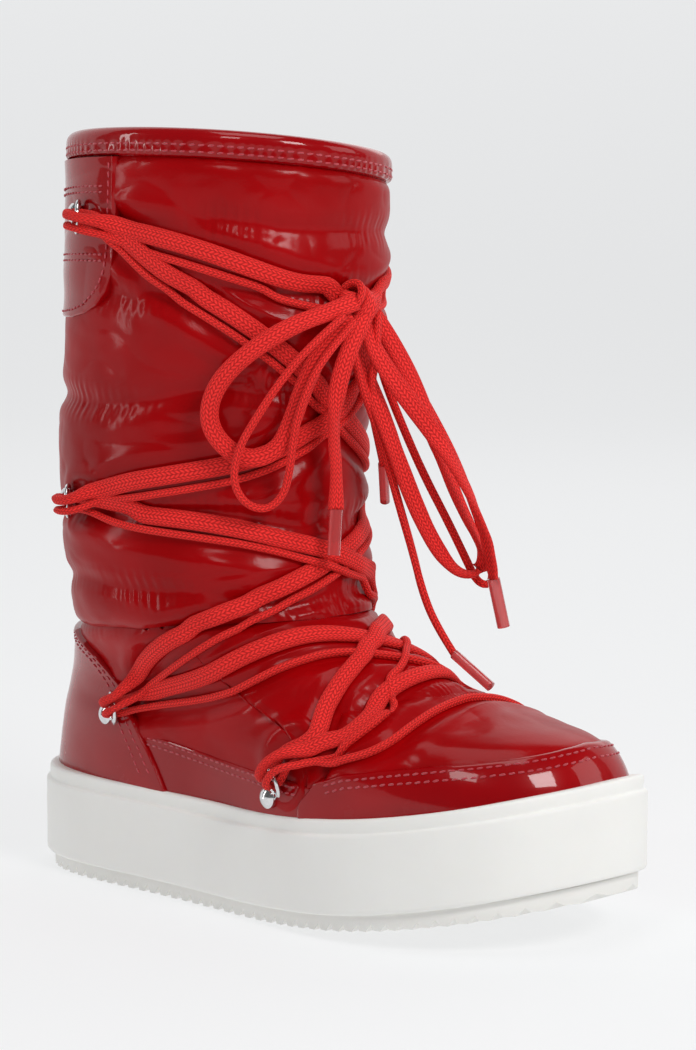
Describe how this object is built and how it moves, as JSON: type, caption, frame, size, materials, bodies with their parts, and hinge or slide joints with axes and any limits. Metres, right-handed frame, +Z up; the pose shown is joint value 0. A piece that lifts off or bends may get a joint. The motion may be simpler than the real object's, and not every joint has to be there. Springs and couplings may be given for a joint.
{
  "type": "winter boot",
  "caption": "Right padded lace-up winter boot with a quilted leg, patent covers, metal lace hooks with swinging D-rings, crossed laces tied in a bow and a thick platform sole.",
  "frame": {"origin": "on the ground, on the outsole's flat pad, under the middle of the foot", "axes": "+X to the toe, +Y to the inner side of the leg, +Z up"},
  "size_m": [0.2801, 0.137, 0.3037],
  "materials": {
    "tread_rubber": "moulded",
    "wall_rubber": "satin",
    "foam": "cellular",
    "steel": "plain",
    "board": "fibre board",
    "footbed_foam": "knit",
    "puffer": "glossy coated nylon",
    "patent": "patent",
    "stiff_plastic": "plain",
    "wadding": "loose fibre",
    "lining": "fleece",
    "lace": "braided",
    "aglet_plastic": "clear",
    "hardware": "polished"
  },
  "bodies": {
    "boot": {"sidewall_cup": "wall_rubber", "shank": "steel", "midsole_core": "foam", "outsole": "tread_rubber", "collar_band": "puffer", "shaft_panel": "puffer", "vamp_panel": "puffer", "quarter_panel": "puffer", "heel_stiffener": "stiff_plastic", "toe_puff": "stiff_plastic", "wadding_foot": "wadding", "wadding_shaft": "wadding", "lining_foot": "lining", "lining_shaft": "lining", "insole_board": "board", "footbed": "footbed_foam", "heel_counter": "patent", "toe_cap": "patent", "rand_outer": "patent", "rand_inner": "patent", "back_strip": "patent", "lace_wide": "lace", "lace_thin": "lace", "lace_knot": "lace", "loop_wide_out": "lace", "loop_thin_out": "lace", "loop_wide_in": "lace", "loop_thin_in": "lace", "tail_wide_out": "lace", "tail_thin_out": "lace", "tail_wide_in": "lace", "tail_thin_in": "lace", "aglet_wide_out": "aglet_plastic", "aglet_thin_out": "aglet_plastic", "aglet_wide_in": "aglet_plastic", "aglet_thin_in": "aglet_plastic", "clip_top_outer": "hardware", "clip_top_inner": "hardware", "clip_shaft_outer": "hardware", "clip_shaft_inner": "hardware", "clip_heel_outer": "hardware", "clip_heel_inner": "hardware", "clip_ball_outer": "hardware", "clip_ball_inner": "hardware", "rivets": "hardware"},
    "ring_top_outer_body": {"ring_top_outer": "hardware"},
    "ring_top_inner_body": {"ring_top_inner": "hardware"},
    "ring_shaft_outer_body": {"ring_shaft_outer": "hardware"},
    "ring_shaft_inner_body": {"ring_shaft_inner": "hardware"},
    "ring_heel_outer_body": {"ring_heel_outer": "hardware"},
    "ring_heel_inner_body": {"ring_heel_inner": "hardware"},
    "ring_ball_outer_body": {"ring_ball_outer": "hardware"},
    "ring_ball_inner_body": {"ring_ball_inner": "hardware"}
  },
  "joints": [
    {"name": "swing_top_outer", "type": "hinge", "parent": "boot", "child": "ring_top_outer_body", "pos_m": [-0.07581, -0.05536, 0.26701], "axis": [0.1066, -0.032, 0.9938], "range_deg": [-6, 6]},
    {"name": "swing_top_inner", "type": "hinge", "parent": "boot", "child": "ring_top_inner_body", "pos_m": [-0.07581, 0.05536, 0.25701], "axis": [0.1595, 0.0489, 0.986], "range_deg": [-6, 6]},
    {"name": "swing_shaft_outer", "type": "hinge", "parent": "boot", "child": "ring_shaft_outer_body", "pos_m": [-0.08722, -0.05053, 0.15494], "axis": [-0.0085, -0.0229, 0.9997], "range_deg": [-6, 6]},
    {"name": "swing_shaft_inner", "type": "hinge", "parent": "boot", "child": "ring_shaft_inner_body", "pos_m": [-0.08722, 0.05053, 0.15494], "axis": [-0.0085, 0.0229, 0.9997], "range_deg": [-6, 6]},
    {"name": "swing_heel_outer", "type": "hinge", "parent": "boot", "child": "ring_heel_outer_body", "pos_m": [-0.07668, -0.03782, 0.07091], "axis": [-0.3538, 0.1569, 0.9221], "range_deg": [-6, 6]},
    {"name": "swing_heel_inner", "type": "hinge", "parent": "boot", "child": "ring_heel_inner_body", "pos_m": [-0.07652, 0.03681, 0.0708], "axis": [-0.3633, -0.1182, 0.9241], "range_deg": [-6, 6]},
    {"name": "swing_ball_outer", "type": "hinge", "parent": "boot", "child": "ring_ball_outer_body", "pos_m": [0.02192, -0.05023, 0.05457], "axis": [-0.778, 0.127, 0.6153], "range_deg": [-6, 6]},
    {"name": "swing_ball_inner", "type": "hinge", "parent": "boot", "child": "ring_ball_inner_body", "pos_m": [0.02143, 0.04569, 0.05456], "axis": [-0.7564, -0.2212, 0.6155], "range_deg": [-6, 6]}
  ]
}
